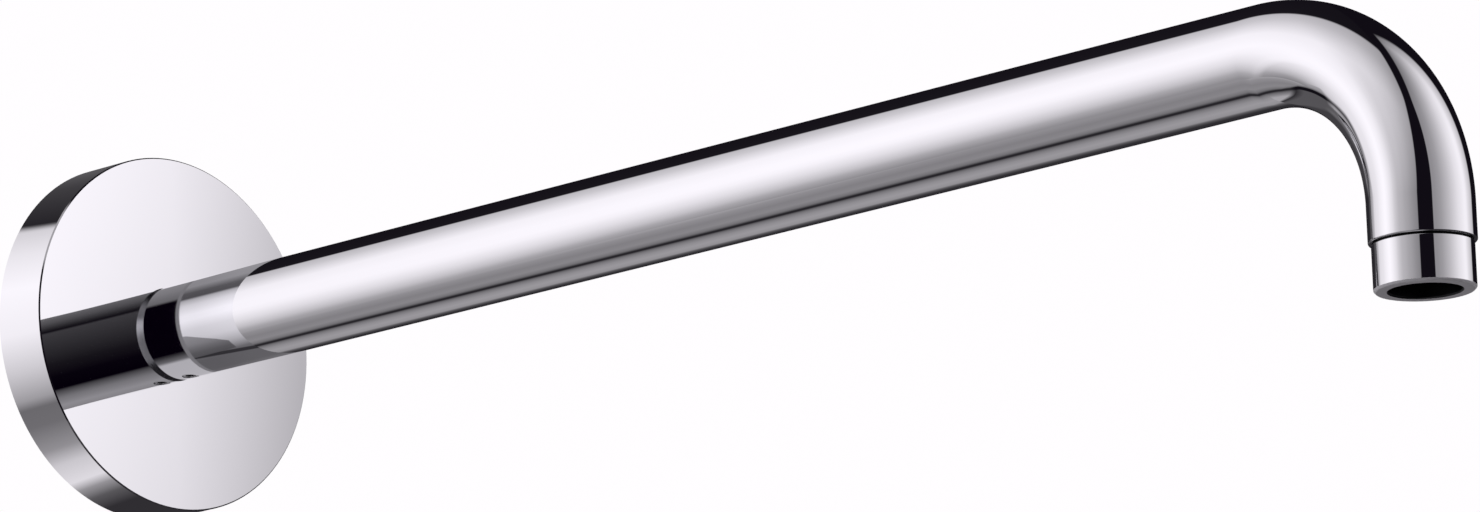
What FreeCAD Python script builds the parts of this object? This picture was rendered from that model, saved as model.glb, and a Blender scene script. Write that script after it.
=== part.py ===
# Wall-mounted shower arm. A round cover plate lies against the wall, a chromed brass tube
# runs straight out of it and bends down at its end, and a short outlet collar closes the tube.
# Behind the plate a turned nipple screws into the wall fitting. Its spigot carries the arm,
# seals it with two rubber rings and takes the set screw that locks it.
# Frame: +X out of the wall along the tube, +Z up, origin on the tube's axis in the plane of
# the wall. All sizes are in millimetres.

import FreeCAD, Part
import Sketcher
import os

# Driving dimensions: name, size and meaning
SIZES = [
    ("arm_reach", 389, "wall to the axis of the outlet"),
    ("bend_radius", 38, "tube's centre line round the bend"),
    ("leg_straight", 8, "straight stretch of tube below the bend"),
    ("tube_diameter", 22.2, "outside of the tube"),
    ("tube_wall", 1.5, "wall of the tube"),
    ("wall_end_bevel", 1.2, "bevel round the tube's wall end"),
    ("outlet_end_round", 3, "radius that turns the tube's outlet end in"),
    ("collar_step", 0.62, "from the tube's outside in to the collar's"),
    ("collar_length", 10, "collar below the tube"),
    ("collar_chamfer", 0.8, "chamfer round the collar's lower edge"),
    ("seam_notch", 0.3, "chamfer of the collar at the seam"),
    ("shank_setback", 0.5, "end of the outlet nipple's shank below the bend"),
    ("outlet_bore", 15, "bore at the outlet's mouth"),
    ("outlet_bore_depth", 8, "depth of that bore"),
    ("mouth_chamfer", 0.5, "chamfer of the outlet's mouth"),
    ("throat_diameter", 12.5, "narrower bore above the mouth"),
    ("throat_lead", 1, "countersink where the water enters the throat"),
    ("sleeve_wall", 1.3, "wall of the sleeve in the tube's wall end"),
    ("sleeve_overrun", 5, "sleeve beyond the spigot's tip"),
    ("sleeve_lead", 0.8, "chamfer that leads the sealing rings in"),
    ("plate_diameter", 84, "outside of the cover plate"),
    ("plate_thickness", 14, "wall to the face of the plate"),
    ("face_wall", 2.5, "thickness of the plate's face"),
    ("rim_wall", 2.5, "plate's rim round the seal"),
    ("ledge_width", 3.5, "ledge in the rim that carries the seal"),
    ("edge_bevel", 0.3, "fine bevel between face and rim"),
    ("boss_wall", 3.5, "wall of the boss behind the plate's hole"),
    ("boss_length", 4.5, "boss behind the face"),
    ("boss_clearance", 0.25, "plate's hole round the spigot"),
    ("seal_depth", 3, "thickness of the seal and depth of its seat"),
    ("seal_width", 4, "width of the seal"),
    ("flange_diameter", 27, "nipple's flange behind the boss"),
    ("flange_thickness", 4, "thickness of that flange"),
    ("thread_diameter", 20.955, "G 1/2 outside thread, over its crests"),
    ("thread_reach", 16, "thread behind the plane of the wall"),
    ("thread_chamfer", 1.2, "chamfer at the thread's start"),
    ("nipple_bore", 8.5, "water way through the nipple"),
    ("key_size", 10, "hexagon socket in the nipple, across flats"),
    ("key_depth", 9, "depth of that socket"),
    ("spigot_clearance", 0.1, "spigot in the sleeve, on the radius"),
    ("ring_section", 1.8, "sealing ring's section, unloaded"),
    ("ring_squeeze", 0.35, "how far a seated ring is flattened"),
    ("ring_side_room", 0.3, "groove beyond each side of a ring"),
    ("ring_setback", 5.5, "set screw to the rear ring"),
    ("ring_spacing", 5.5, "rear ring to front ring"),
    ("tip_setback", 4, "front ring to the spigot's tip"),
    ("tip_chamfer", 0.8, "chamfer of the spigot's tip"),
    ("screw_diameter", 4, "set screw"),
    ("screw_offset", 5, "face of the plate to the set screw"),
    ("screw_recess", 0.5, "set screw below the tube's surface"),
    ("screw_key", 2, "hexagon socket in the set screw, across flats"),
    ("screw_key_depth", 1.6, "depth of that socket"),
    ("screw_tip_bevel", 0.8, "bevel round the set screw's tip"),
    ("lock_depth", 1.2, "depth of the locking groove"),
    ("lock_side_room", 0.3, "locking groove beyond each side of the screw"),
]

# Formulas that several pieces share
TUBE_R = "(Sizes.tube_diameter / 2)"
TUBE_BORE_R = f"({TUBE_R} - Sizes.tube_wall)"
SLEEVE_BORE_R = f"({TUBE_BORE_R} - Sizes.sleeve_wall)"
SPIGOT_R = f"({SLEEVE_BORE_R} - Sizes.spigot_clearance)"
RING_DEPTH = "(Sizes.ring_section - Sizes.ring_squeeze)"
RING_FLOOR_R = f"({SLEEVE_BORE_R} - {RING_DEPTH})"
LOCK_FLOOR_R = f"({SPIGOT_R} - Sizes.lock_depth)"
COLLAR_R = f"({TUBE_R} - Sizes.collar_step)"
FACE_X = "Sizes.plate_thickness"
SCREW_X = f"({FACE_X} + Sizes.screw_offset)"
REAR_RING_X = f"({SCREW_X} + Sizes.ring_setback)"
FRONT_RING_X = f"({REAR_RING_X} + Sizes.ring_spacing)"
TIP_X = f"({FRONT_RING_X} + Sizes.tip_setback)"
BOSS_X = f"({FACE_X} - Sizes.face_wall - Sizes.boss_length)"
FLANGE_X = f"({BOSS_X} - Sizes.flange_thickness)"
BEND_X = "(Sizes.arm_reach - Sizes.bend_radius)"
LEG_END_Z = "(0 - Sizes.bend_radius - Sizes.leg_straight)"

doc = FreeCAD.newDocument("ShowerArm")


def fill_sheet():
    """the spreadsheet of driving dimensions, one named cell each"""
    sheet = doc.addObject("Spreadsheet::Sheet", "Sizes")
    for row, (name, number, meaning) in enumerate(SIZES, 1):
        sheet.set(f"A{row}", name)
        sheet.set(f"B{row}", str(number))
        sheet.set(f"C{row}", meaning)
        sheet.setAlias(f"B{row}", name)
    doc.recompute()
    return sheet


sheet = fill_sheet()


def value(formula):
    """the number that a formula gives with the sheet as it is"""
    return float(sheet.evalExpression(formula.replace("Sizes.", "")))


def new_body(label):
    """one turned, bent or pressed piece"""
    body = doc.addObject("PartDesign::Body", label)
    body.Label = label
    return body


def new_sketch(body, name, plane, **offset):
    """an empty sketch on one of the body's own origin planes, shifted by formulas"""
    drawing = body.newObject("Sketcher::SketchObject", name)
    support = next(part for part in body.Origin.OriginFeatures if part.Role == plane)
    drawing.AttachmentSupport = [(support, "")]
    drawing.MapMode = "FlatFace"
    for axis, formula in offset.items():
        drawing.setExpression(f"AttachmentOffset.Base.{axis}", formula)
    return drawing


def fix_point(drawing, line, end, across, up):
    """ties one end of a line or arc to two formulas, measured from the sketch's origin"""
    for kind, formula in (("DistanceX", across), ("DistanceY", up)):
        index = drawing.addConstraint(Sketcher.Constraint(kind, line, end, value(formula)))
        drawing.setExpression(f"Constraints[{index}]", formula)


def add_circle(drawing, radius):
    """a circle about the sketch's origin"""
    centre, normal = FreeCAD.Vector(0, 0, 0), FreeCAD.Vector(0, 0, 1)
    circle = drawing.addGeometry(Part.Circle(centre, normal, value(radius)))
    drawing.addConstraint(Sketcher.Constraint("Coincident", circle, 3, -1, 1))
    index = drawing.addConstraint(Sketcher.Constraint("Radius", circle, value(radius)))
    drawing.setExpression(f"Constraints[{index}]", radius)


def add_outline(drawing, corners):
    """a closed outline of straight lines, each corner a pair of formulas"""
    spots = [FreeCAD.Vector(value(across), value(up), 0) for across, up in corners]
    for start, end in zip(spots, spots[1:] + spots[:1]):
        drawing.addGeometry(Part.LineSegment(start, end))
    for line, (across, up) in enumerate(corners):
        drawing.addConstraint(Sketcher.Constraint("Coincident", line, 2, (line + 1) % len(corners), 1))
        fix_point(drawing, line, 1, across, up)


def add_hexagon(drawing, across_flats):
    """a hexagon about the sketch's origin, two corners on its first axis"""
    corner_r = f"({across_flats} / 2 / cos(30 deg))"
    add_outline(drawing, [
        (f"{corner_r} * cos({angle} deg)", f"{corner_r} * sin({angle} deg)")
        for angle in range(0, 360, 60)
    ])


def spin(body, kind, drawing, axis):
    """turns a sketch all the way round one of its axes, to add or to cut"""
    feature = body.newObject(f"PartDesign::{kind}", f"{drawing.Name}{kind}")
    feature.Profile = drawing
    feature.ReferenceAxis = (drawing, [axis])
    feature.Angle = 360
    drawing.Visibility = False
    doc.recompute()
    return feature


def cut_pocket(body, drawing, depth, reverse=False):
    """cuts a sketch straight down to a depth, and stops if nothing was cut"""
    before = body.Tip.Shape.Volume
    feature = body.newObject("PartDesign::Pocket", f"{drawing.Name}Pocket")
    feature.Profile = drawing
    feature.Type = "Length"
    feature.Reversed = reverse
    feature.setExpression("Length", depth)
    drawing.Visibility = False
    doc.recompute()
    if feature.Shape.Volume > before - 0.1:
        raise RuntimeError(f"{feature.Name} cuts nothing")
    return feature


def round_edge(feature, axis, place, radius):
    """the name of the circular edge with this radius at this place along the body's axis"""
    for number, edge in enumerate(feature.Shape.Edges, 1):
        curve = edge.Curve
        if not isinstance(curve, Part.Circle) or abs(curve.Radius - value(radius)) > 0.001:
            continue
        if abs(getattr(curve.Center, axis) - value(place)) < 0.001:
            return f"Edge{number}"
    raise RuntimeError(f"no edge of radius {value(radius)} at {value(place)}")


def bevel(body, name, edges, width):
    """a 45 degree chamfer on named edges of the body's last feature"""
    blank = body.Tip
    feature = body.newObject("PartDesign::Chamfer", name)
    feature.Base = (blank, edges)
    feature.setExpression("Size", width)
    doc.recompute()
    return feature


def screw_hole(body):
    """the set screw's hole, through the underside only"""
    drawing = new_sketch(body, f"{body.Name}ScrewHole", "XY_Plane", x=SCREW_X)
    add_circle(drawing, "Sizes.screw_diameter / 2")
    return cut_pocket(body, drawing, "Sizes.tube_diameter")


def make_arm_tube():
    """straight run, bend and short leg, swept in one piece, bored, bevelled and rounded in"""
    body = new_body("arm_tube")
    path = new_sketch(body, "TubePath", "XZ_Plane")
    start = FreeCAD.Vector(value(FACE_X), 0, 0)
    bend_start = FreeCAD.Vector(value(BEND_X), 0, 0)
    radius = value("Sizes.bend_radius")
    centre = FreeCAD.Vector(bend_start.x, -radius, 0)
    middle = centre + FreeCAD.Vector(radius, radius, 0) / 2 ** 0.5
    bend_end = centre + FreeCAD.Vector(radius, 0, 0)
    end = FreeCAD.Vector(bend_end.x, value(LEG_END_Z), 0)
    run = path.addGeometry(Part.LineSegment(start, bend_start))
    arc = path.addGeometry(Part.Arc(bend_start, middle, bend_end))
    leg = path.addGeometry(Part.LineSegment(bend_end, end))
    arc_start, arc_end = (2, 1) if path.getPoint(arc, 2).distanceToPoint(bend_start) < 0.001 else (1, 2)
    path.addConstraint(Sketcher.Constraint("Tangent", run, 2, arc, arc_start))
    path.addConstraint(Sketcher.Constraint("Tangent", arc, arc_end, leg, 1))
    path.addConstraint(Sketcher.Constraint("Vertical", leg))
    fix_point(path, run, 1, FACE_X, "0")
    fix_point(path, leg, 2, "Sizes.arm_reach", LEG_END_Z)
    bend = path.addConstraint(Sketcher.Constraint("Radius", arc, radius))
    path.setExpression(f"Constraints[{bend}]", "Sizes.bend_radius")
    path.addConstraint(Sketcher.Constraint("Horizontal", run))
    path.Visibility = False

    for kind, name, size in (
        ("AdditivePipe", "TubeOutside", TUBE_R),
        ("SubtractivePipe", "TubeBore", TUBE_BORE_R),
    ):
        section = new_sketch(body, f"{name}Section", "YZ_Plane", z=FACE_X)
        add_circle(section, size)
        section.Visibility = False
        doc.recompute()
        pipe = body.newObject(f"PartDesign::{kind}", name)
        pipe.Profile = section
        pipe.Spine = (path, [])
        doc.recompute()

    wall_edge = round_edge(body.Tip, "x", FACE_X, TUBE_R)
    bevel(body, "WallEndBevel", [wall_edge], "Sizes.wall_end_bevel")
    turn_outlet_end_in(body)
    screw_hole(body)
    return body


def turn_outlet_end_in(body):
    """rounds the tube's lower end in to the collar, on an arc tangent to the tube's side"""
    lip_height = (
        "sqrt(2 * Sizes.outlet_end_round * Sizes.collar_step"
        " - Sizes.collar_step * Sizes.collar_step)"
    )
    shoulder_z = f"({LEG_END_Z} + {lip_height})"
    clear_r = f"({TUBE_R} + Sizes.tube_wall)"
    drawing = new_sketch(body, "OutletEndRound", "XZ_Plane", x="Sizes.arm_reach")
    top = FreeCAD.Vector(value(TUBE_R), value(shoulder_z), 0)
    low = FreeCAD.Vector(value(COLLAR_R), value(LEG_END_Z), 0)
    radius = value("Sizes.outlet_end_round")
    centre = top - FreeCAD.Vector(radius, 0, 0)
    halfway = (top + low) / 2 - centre
    middle = centre + halfway * (radius / halfway.Length)
    outer_low = FreeCAD.Vector(value(clear_r), low.y, 0)
    outer_top = FreeCAD.Vector(value(clear_r), top.y, 0)
    arc = drawing.addGeometry(Part.Arc(top, middle, low))
    lines = [(low, outer_low), (outer_low, outer_top), (outer_top, top)]
    first, second, third = [drawing.addGeometry(Part.LineSegment(*ends)) for ends in lines]
    at_low, at_top = (1, 2) if drawing.getPoint(arc, 1).distanceToPoint(low) < 0.001 else (2, 1)
    drawing.addConstraint(Sketcher.Constraint("Coincident", arc, at_low, first, 1))
    drawing.addConstraint(Sketcher.Constraint("Coincident", first, 2, second, 1))
    drawing.addConstraint(Sketcher.Constraint("Coincident", second, 2, third, 1))
    drawing.addConstraint(Sketcher.Constraint("Coincident", third, 2, arc, at_top))
    fix_point(drawing, first, 1, COLLAR_R, LEG_END_Z)
    fix_point(drawing, second, 1, clear_r, LEG_END_Z)
    fix_point(drawing, third, 1, clear_r, shoulder_z)
    fix_point(drawing, third, 2, TUBE_R, shoulder_z)
    index = drawing.addConstraint(Sketcher.Constraint("Radius", arc, radius))
    drawing.setExpression(f"Constraints[{index}]", "Sizes.outlet_end_round")
    before = body.Tip.Shape.Volume
    groove = spin(body, "Groove", drawing, "V_Axis")
    if groove.Shape.Volume > before - 0.1:
        raise RuntimeError("the outlet end isn't rounded")


def make_arm_sleeve():
    """plain sleeve brazed into the tube's wall end, flush with it"""
    body = new_body("arm_sleeve")
    end_x = f"({TIP_X} + Sizes.sleeve_overrun)"
    drawing = new_sketch(body, "SleeveProfile", "XZ_Plane")
    add_outline(drawing, [
        (FACE_X, SLEEVE_BORE_R), (FACE_X, TUBE_BORE_R), (end_x, TUBE_BORE_R), (end_x, SLEEVE_BORE_R),
    ])
    spin(body, "Revolution", drawing, "H_Axis")
    mouth = round_edge(body.Tip, "x", FACE_X, SLEEVE_BORE_R)
    far = round_edge(body.Tip, "x", end_x, SLEEVE_BORE_R)
    bevel(body, "SleeveLead", [mouth, far], "Sizes.sleeve_lead")
    screw_hole(body)
    return body


def make_outlet_nipple():
    """turned nipple: shank in the tube, smooth collar below it, stepped bore; own axis is Z"""
    body = new_body("outlet_nipple")
    shank_z = "(Sizes.leg_straight - Sizes.shank_setback)"
    low_z = "(0 - Sizes.collar_length)"
    mouth_z = f"({low_z} + Sizes.outlet_bore_depth)"
    bore_r = "(Sizes.outlet_bore / 2)"
    throat_r = "(Sizes.throat_diameter / 2)"
    drawing = new_sketch(body, "OutletProfile", "XZ_Plane")
    add_outline(drawing, [
        (throat_r, shank_z), (TUBE_BORE_R, shank_z), (TUBE_BORE_R, "0"), (COLLAR_R, "0"),
        (COLLAR_R, low_z), (bore_r, low_z), (bore_r, mouth_z), (throat_r, mouth_z),
    ])
    spin(body, "Revolution", drawing, "V_Axis")
    low_edge = round_edge(body.Tip, "z", low_z, COLLAR_R)
    bevel(body, "CollarChamfer", [low_edge], "Sizes.collar_chamfer")
    seam_edge = round_edge(body.Tip, "z", "0", COLLAR_R)
    bevel(body, "SeamNotch", [seam_edge], "Sizes.seam_notch")
    mouth_edge = round_edge(body.Tip, "z", low_z, bore_r)
    bevel(body, "MouthChamfer", [mouth_edge], "Sizes.mouth_chamfer")
    throat_edge = round_edge(body.Tip, "z", shank_z, throat_r)
    bevel(body, "ThroatLead", [throat_edge], "Sizes.throat_lead")
    body.setExpression("Placement.Base.x", "Sizes.arm_reach")
    body.setExpression("Placement.Base.z", LEG_END_Z)
    return body


def make_cover_plate():
    """turned plate: flat face, straight rim, hollow back with a boss and a seat for the seal"""
    body = new_body("cover_plate")
    outer_r = "(Sizes.plate_diameter / 2)"
    seal_r = f"({outer_r} - Sizes.rim_wall)"
    hollow_r = f"({seal_r} - Sizes.ledge_width)"
    hole_r = f"({SPIGOT_R} + Sizes.boss_clearance)"
    boss_r = f"({hole_r} + Sizes.boss_wall)"
    inner_x = f"({FACE_X} - Sizes.face_wall)"
    drawing = new_sketch(body, "PlateProfile", "XZ_Plane")
    add_outline(drawing, [
        ("0", outer_r), (FACE_X, outer_r), (FACE_X, hole_r), (BOSS_X, hole_r), (BOSS_X, boss_r),
        (inner_x, boss_r), (inner_x, hollow_r), ("Sizes.seal_depth", hollow_r),
        ("Sizes.seal_depth", seal_r), ("0", seal_r),
    ])
    spin(body, "Revolution", drawing, "H_Axis")
    front_edge = round_edge(body.Tip, "x", FACE_X, outer_r)
    bevel(body, "FaceBevel", [front_edge], "Sizes.edge_bevel")
    return body


def make_wall_seal():
    """flat soft ring in the plate's back"""
    body = new_body("wall_seal")
    outer_r = "(Sizes.plate_diameter / 2 - Sizes.rim_wall)"
    drawing = new_sketch(body, "SealRing", "YZ_Plane")
    add_circle(drawing, outer_r)
    add_circle(drawing, f"{outer_r} - Sizes.seal_width")
    doc.recompute()
    ring = body.newObject("PartDesign::Pad", "SealPad")
    ring.Profile = drawing
    ring.setExpression("Length", "Sizes.seal_depth")
    drawing.Visibility = False
    doc.recompute()
    return body


def make_wall_nipple():
    """turned nipple: outside thread, flange, spigot with its grooves, bore and key socket"""
    body = new_body("wall_nipple")
    thread_r = "(Sizes.thread_diameter / 2)"
    flange_r = "(Sizes.flange_diameter / 2)"
    bore_r = "(Sizes.nipple_bore / 2)"
    start_x = "(0 - Sizes.thread_reach)"
    drawing = new_sketch(body, "NippleProfile", "XZ_Plane")
    add_outline(drawing, [
        (start_x, bore_r), (start_x, thread_r), (FLANGE_X, thread_r), (FLANGE_X, flange_r),
        (BOSS_X, flange_r), (BOSS_X, SPIGOT_R), (TIP_X, SPIGOT_R), (TIP_X, bore_r),
    ])
    spin(body, "Revolution", drawing, "H_Axis")
    bevel(body, "ThreadChamfer", [round_edge(body.Tip, "x", start_x, thread_r)], "Sizes.thread_chamfer")
    bevel(body, "TipChamfer", [round_edge(body.Tip, "x", TIP_X, SPIGOT_R)], "Sizes.tip_chamfer")

    ring_half = "(Sizes.ring_section / 2 + Sizes.ring_side_room)"
    lock_half = "(Sizes.screw_diameter / 2 + Sizes.lock_side_room)"
    for name, place, half, floor in (
        ("LockGroove", SCREW_X, lock_half, LOCK_FLOOR_R),
        ("RearRingGroove", REAR_RING_X, ring_half, RING_FLOOR_R),
        ("FrontRingGroove", FRONT_RING_X, ring_half, RING_FLOOR_R),
    ):
        cut = new_sketch(body, name, "XZ_Plane")
        add_outline(cut, [
            (f"{place} - {half}", floor), (f"{place} + {half}", floor),
            (f"{place} + {half}", SLEEVE_BORE_R), (f"{place} - {half}", SLEEVE_BORE_R),
        ])
        before = body.Tip.Shape.Volume
        groove = spin(body, "Groove", cut, "H_Axis")
        if groove.Shape.Volume > before - 0.1:
            raise RuntimeError(f"{name} cuts nothing")

    socket = new_sketch(body, "KeySocket", "YZ_Plane", z=TIP_X)
    add_hexagon(socket, "Sizes.key_size")
    cut_pocket(body, socket, "Sizes.key_depth")
    return body


def make_sealing_ring(label, place):
    """rubber ring as it sits, flattened between the groove's floor and the sleeve's bore"""
    ring = doc.addObject("Part::Torus", f"{label}_round")
    ring.setExpression("Radius1", f"{SLEEVE_BORE_R} - {RING_DEPTH} / 2")
    ring.setExpression("Radius2", "Sizes.ring_section / 2")
    room_outer = doc.addObject("Part::Cylinder", f"{label}_bore")
    room_outer.setExpression("Radius", SLEEVE_BORE_R)
    room_inner = doc.addObject("Part::Cylinder", f"{label}_floor")
    room_inner.setExpression("Radius", RING_FLOOR_R)
    along_x = FreeCAD.Rotation(FreeCAD.Vector(0, 1, 0), 90)
    for solid, shift in ((ring, "0"), (room_outer, "Sizes.ring_section"), (room_inner, "Sizes.ring_section")):
        solid.Placement = FreeCAD.Placement(FreeCAD.Vector(), along_x)
        solid.setExpression("Placement.Base.x", f"{place} - {shift}")
    for solid in (room_outer, room_inner):
        solid.setExpression("Height", "2 * Sizes.ring_section")
    room = doc.addObject("Part::Cut", f"{label}_room")
    room.Base = room_outer
    room.Tool = room_inner
    seated = doc.addObject("Part::Common", label)
    seated.Base = ring
    seated.Tool = room
    seated.Label = label
    return seated


def make_set_screw():
    """headless screw with a hexagon socket; own frame has its socket end at Z 0, tip up"""
    body = new_body("set_screw")
    length = f"({TUBE_R} - Sizes.screw_recess - {LOCK_FLOOR_R})"
    drawing = new_sketch(body, "ScrewCircle", "XY_Plane")
    add_circle(drawing, "Sizes.screw_diameter / 2")
    doc.recompute()
    shaft = body.newObject("PartDesign::Pad", "ScrewShaft")
    shaft.Profile = drawing
    shaft.setExpression("Length", length)
    drawing.Visibility = False
    doc.recompute()
    tip_edge = round_edge(body.Tip, "z", length, "Sizes.screw_diameter / 2")
    bevel(body, "ScrewTip", [tip_edge], "Sizes.screw_tip_bevel")
    socket = new_sketch(body, "ScrewSocket", "XY_Plane")
    add_hexagon(socket, "Sizes.screw_key")
    cut_pocket(body, socket, "Sizes.screw_key_depth", reverse=True)
    body.setExpression("Placement.Base.x", SCREW_X)
    body.setExpression("Placement.Base.z", f"Sizes.screw_recess - {TUBE_R}")
    return body


def check_and_write(parts):
    """every feature sound, every piece one valid solid, then one file for each piece"""
    doc.recompute()
    for item in doc.Objects:
        if "Invalid" in item.State or "Error" in item.State:
            raise RuntimeError(f"{item.Label} failed: {item.State}")
    for part in parts:
        if part.Shape.isNull() or not part.Shape.isValid() or len(part.Shape.Solids) != 1:
            raise RuntimeError(f"{part.Label} isn't one valid solid")
    os.makedirs("parts", exist_ok=True)
    for part in parts:
        part.Shape.exportStep(f"parts/{part.Label}.step")
        print(f"{part.Label}: {part.Shape.Volume / 1000:.3f} cm3")


check_and_write([
    make_arm_tube(),
    make_arm_sleeve(),
    make_outlet_nipple(),
    make_cover_plate(),
    make_wall_seal(),
    make_wall_nipple(),
    make_sealing_ring("rear_ring", REAR_RING_X),
    make_sealing_ring("front_ring", FRONT_RING_X),
    make_set_screw(),
])
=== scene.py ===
# %% [markdown]
# # A chrome shower arm, dressed round its CAD model
# The imported CAD model comes in as a fixed frame of nine nodes, since nothing on the arm moves. Everything below is
# in metres in the same frame: +X runs out of the wall along the tube, +Z is up, and the outlet points down.

from math import atan2, cos, degrees, pi, radians, sin

import bpy
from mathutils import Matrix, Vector


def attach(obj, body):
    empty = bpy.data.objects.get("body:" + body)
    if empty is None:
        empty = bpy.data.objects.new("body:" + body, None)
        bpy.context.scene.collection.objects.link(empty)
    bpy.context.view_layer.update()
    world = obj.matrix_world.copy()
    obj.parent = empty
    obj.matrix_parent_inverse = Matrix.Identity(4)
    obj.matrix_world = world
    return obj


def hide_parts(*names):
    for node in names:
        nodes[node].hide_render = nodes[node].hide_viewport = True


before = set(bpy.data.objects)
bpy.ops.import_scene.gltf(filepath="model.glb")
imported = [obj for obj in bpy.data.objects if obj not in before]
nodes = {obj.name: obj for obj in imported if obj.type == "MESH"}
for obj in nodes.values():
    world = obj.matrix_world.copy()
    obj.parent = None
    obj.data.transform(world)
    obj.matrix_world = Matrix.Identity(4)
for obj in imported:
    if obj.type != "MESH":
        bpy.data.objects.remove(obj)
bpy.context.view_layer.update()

# %% [markdown]
# ## Camera
# The photo was taken from low down, in front of the outlet and a little below the arm, with a long lens, so the arm
# runs away from the camera to the wall plate. A camera could be turned by eye until the picture looks right. This one
# has the place and angles at which the outlines of the tube, the plate and the collar fall where the photo has them.
# The image is 1480 by 512 pixels, and the sensor's 36 mm are its long side.

# %% Camera
LENS, SENSOR = 193.9, 36
CAMERA_PLACE = (1.3755, -1.2249, -0.3936)
CAMERA_ANGLES = (102.587, 1.915, 44.29)

lens = bpy.data.cameras.new("camera")
lens.sensor_width = SENSOR
lens.lens = LENS
camera = bpy.data.objects.new("camera", lens)
camera.location = CAMERA_PLACE
camera.rotation_euler = [radians(angle) for angle in CAMERA_ANGLES]
bpy.context.collection.objects.link(camera)
bpy.context.scene.camera = camera
print("camera at", CAMERA_PLACE, "with a", LENS, "mm lens")

# %% [markdown]
# ## Node helpers
# Every finish and every card of the studio is made of shader nodes. They could be placed one by one, but three small
# helpers keep that short: one puts a node into a tree and fills its inputs, one does sums, and one turns a number into
# a tone through a colour ramp.

# %% Node helpers
def put(tree, kind, inputs=(), **settings):
    """a new node in tree, with its settings, and its inputs filled from plain values or linked from sockets"""
    node = tree.nodes.new(kind)
    for name, value in settings.items():
        setattr(node, name, value)
    for name, value in dict(inputs).items():
        if isinstance(value, bpy.types.NodeSocket):
            tree.links.new(value, node.inputs[name])
        else:
            node.inputs[name].default_value = value
    return node


def calc(tree, operation, *terms):
    """one sum, as a socket"""
    return put(tree, "ShaderNodeMath", enumerate(terms), operation=operation).outputs[0]


def tones(tree, place, stops):
    """a tone that follows place through the stops, each a (place, tone)"""
    first, last = stops[0][0], stops[-1][0]
    share = put(tree, "ShaderNodeMapRange", {"Value": place, "From Min": first, "From Max": last}).outputs[0]
    ramp = put(tree, "ShaderNodeValToRGB", {"Fac": share})
    while len(ramp.color_ramp.elements) < len(stops):
        ramp.color_ramp.elements.new(0.5)
    for element, (at, tone) in zip(ramp.color_ramp.elements, stops):
        element.position = (at - first) / (last - first)
        element.color = (tone, tone, tone, 1)
    return ramp.outputs["Color"]


print("node helpers:", put.__name__, calc.__name__, tones.__name__)

# %% [markdown]
# ## White room
# The photo's background is white with a trace of violet. More light would turn it white too, but it would wash out
# the arm. So the Light Path node lets the camera, and mirror or clear rays that leave past everything, see the
# background at strength 1, and a softer level of it lights what is not metal. Two soft lamps give the rest of that
# light, and a pale floor far below the arm takes its shadow. The lamps are left out of mirrors, where the tent
# below does their work.

# %% White room
ROOM_WHITE = (1, 0.985, 1, 1)
FILL_LEVEL = 0.5
FLOOR_DEPTH, FLOOR_SIZE, FLOOR_TONE = 0.6, 8, (0.8, 0.8, 0.8, 1)
ARM_MIDDLE = Vector((0.2, 0, 0))
LAMP_SIZE = 1.6
LAMPS = {"lamp_left": ((-0.8, -2.4, 1.6), 60), "lamp_right": ((1.8, 1.6, 1.4), 30)}

bpy.context.scene.view_settings.view_transform = "Standard"
world = bpy.data.worlds.new("white_room")
bpy.context.scene.world = world
world.use_nodes = True
tree = world.node_tree
path = put(tree, "ShaderNodeLightPath").outputs
white_for = calc(tree, "MAXIMUM", path["Is Camera Ray"], path["Is Glossy Ray"])
white_for = calc(tree, "MAXIMUM", white_for, path["Is Transmission Ray"])
level = put(tree, "ShaderNodeMapRange", {"Value": white_for, "To Min": FILL_LEVEL, "To Max": 1.0})
tree.nodes["Background"].inputs["Color"].default_value = ROOM_WHITE
tree.links.new(level.outputs[0], tree.nodes["Background"].inputs["Strength"])

for name, (place, energy) in LAMPS.items():
    lamp = bpy.data.lights.new(name, "AREA")
    lamp.size = LAMP_SIZE
    lamp.energy = energy
    holder = bpy.data.objects.new(name, lamp)
    holder.location = place
    holder.rotation_euler = (Vector(place) - ARM_MIDDLE).to_track_quat("Z", "Y").to_euler()
    holder.visible_glossy = False
    bpy.context.collection.objects.link(holder)

bpy.ops.object.select_all(action="DESELECT")
bpy.ops.mesh.primitive_plane_add(size=FLOOR_SIZE, location=(ARM_MIDDLE.x, 0, -FLOOR_DEPTH))
floor = bpy.context.object
floor.name = "floor"
paint = bpy.data.materials.new("pale_floor")
paint.use_nodes = True
paint.node_tree.nodes["Principled BSDF"].inputs["Base Color"].default_value = FLOOR_TONE
paint.node_tree.nodes["Principled BSDF"].inputs["Roughness"].default_value = 0.9
floor.data.materials.append(paint)
floor.visible_glossy = False
print("white room with", list(LAMPS), "and a floor", FLOOR_DEPTH, "m below the arm")

# %% [markdown]
# ## Sums for a painted room
# Chrome has no colour of its own: all its stripes are the room. Softboxes, black flags and a table could be set up
# round the arm, but then no stripe can be moved without the others. So the room is painted, in tones by place, on a
# few cards. Where each tone goes is worked out by products, lengths and angles, and by a choice between two tones.

# %% Sums for a painted room
def multiply(tree, *factors):
    product = factors[0]
    for factor in factors[1:]:
        product = calc(tree, "MULTIPLY", product, factor)
    return product


def length(tree, a, b):
    return calc(tree, "POWER", calc(tree, "ADD", multiply(tree, a, a), multiply(tree, b, b)), 0.5)


def angle_of(tree, up, along):
    return calc(tree, "DEGREES", calc(tree, "ARCTAN2", up, along))


def either(tree, share, a, b):
    """a where share is 0, b where it is 1"""
    return put(tree, "ShaderNodeMix", {"Factor": share, "A": a, "B": b}).outputs["Result"]


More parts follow.
